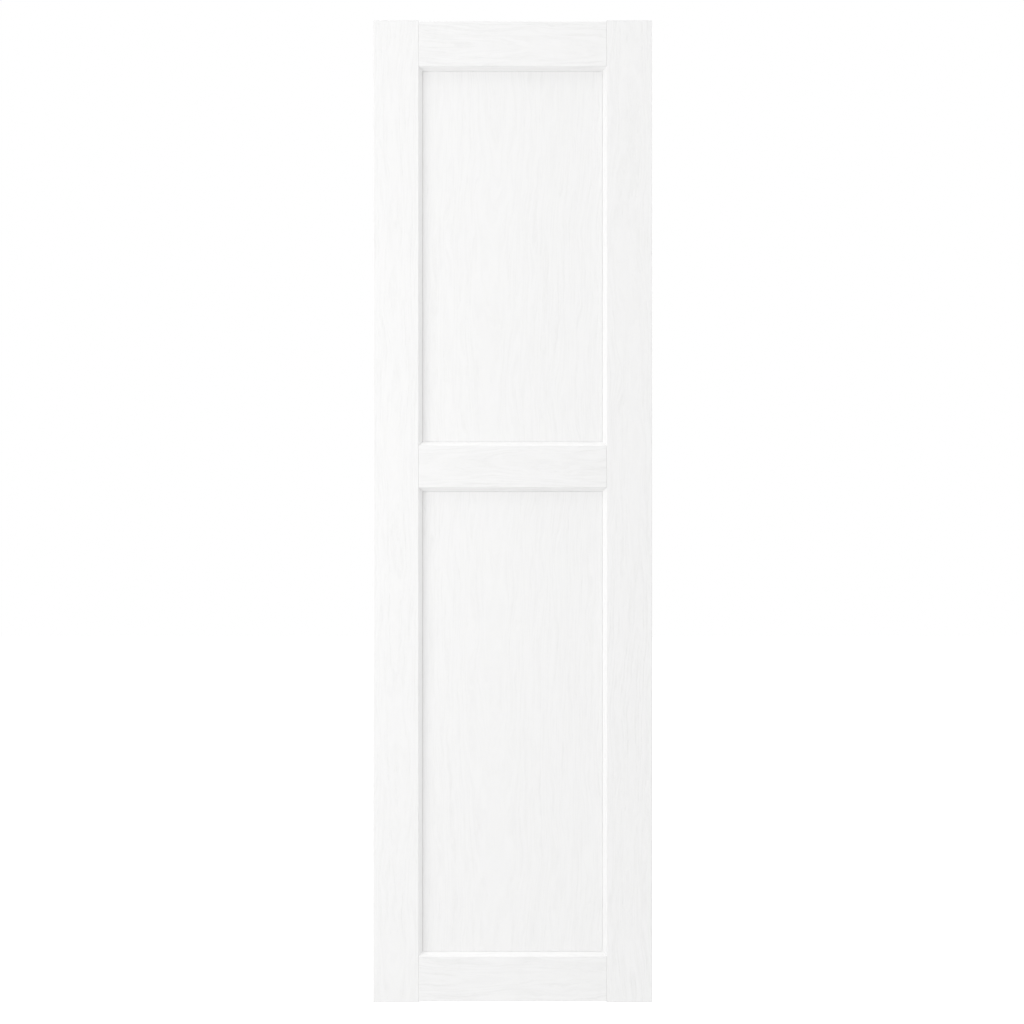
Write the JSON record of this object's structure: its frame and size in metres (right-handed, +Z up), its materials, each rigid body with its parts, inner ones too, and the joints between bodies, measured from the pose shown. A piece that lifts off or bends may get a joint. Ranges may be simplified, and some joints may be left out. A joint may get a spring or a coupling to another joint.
{
  "type": "cabinet door",
  "caption": "Tall framed cabinet door with bevelled edges round two recessed flat panels, and hinge cups bored in its back.",
  "frame": {"origin": "on the back face of the hinge stile, at the axis of the middle hinge cup, which is the middle of the door's height", "axes": "+Z up along the stiles, +Y out of the back face towards the cabinet, -Y out of the front face, +X from the hinge stile to the other stile"},
  "size_m": [0.397, 0.019, 1.397],
  "materials": {
    "frame_foil": "white satin wood-effect foil with an embossed grain",
    "panel_foil": "white satin wood-effect foil with an embossed grain",
    "edge_band": "white matt"
  },
  "bodies": {
    "root": {"left_stile": "frame_foil", "right_stile": "frame_foil", "top_rail": "frame_foil", "middle_rail": "frame_foil", "bottom_rail": "frame_foil", "upper_panel": "panel_foil", "lower_panel": "panel_foil", "left_stile_top_band": "edge_band", "left_stile_bottom_band": "edge_band", "right_stile_top_band": "edge_band", "right_stile_bottom_band": "edge_band"}
  },
  "joints": []
}
